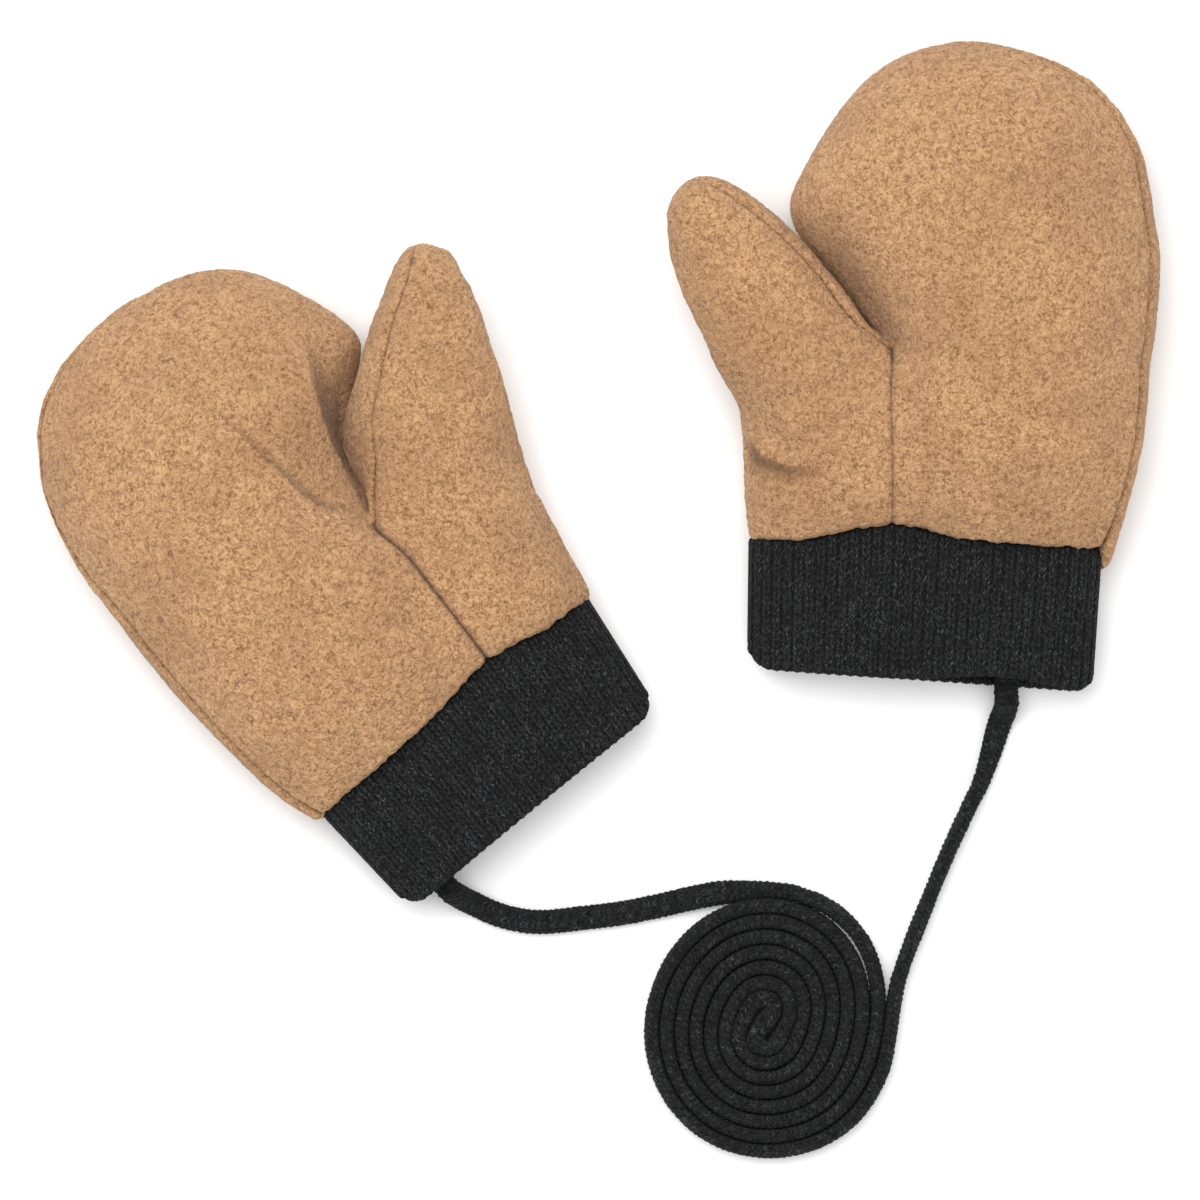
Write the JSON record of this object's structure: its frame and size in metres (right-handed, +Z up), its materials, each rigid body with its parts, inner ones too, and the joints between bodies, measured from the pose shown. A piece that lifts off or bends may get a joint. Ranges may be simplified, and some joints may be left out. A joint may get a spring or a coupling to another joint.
{
  "type": "pair of mittens",
  "caption": "Pair of small fleece mittens with ribbed knit cuffs, joined by a knitted cord that lies wound in a flat coil.",
  "frame": {"origin": "on the surface that the mittens lie on, under the middle of the two mittens without their cord", "axes": "+Z up from the surface, +Y towards the finger tips of the left-hand mitten (4 degrees off), +X from the right-hand mitten to the left-hand one"},
  "size_m": [0.2364, 0.2351, 0.0352],
  "materials": {
    "fleece": "soft short-nap fleece, matt",
    "rib_knit": "one by one rib knit, matt",
    "knitted_cord": "flat tubular knit, matt"
  },
  "bodies": {
    "root": {"left_hand_palm": "fleece", "left_hand_thumb": "fleece", "left_hand_back": "fleece", "left_hand_cuff": "rib_knit", "left_hand_cord": "knitted_cord", "right_hand_palm": "fleece", "right_hand_thumb": "fleece", "right_hand_back": "fleece", "right_hand_cuff": "rib_knit", "right_hand_cord": "knitted_cord", "cord_coil": "knitted_cord"}
  },
  "joints": []
}
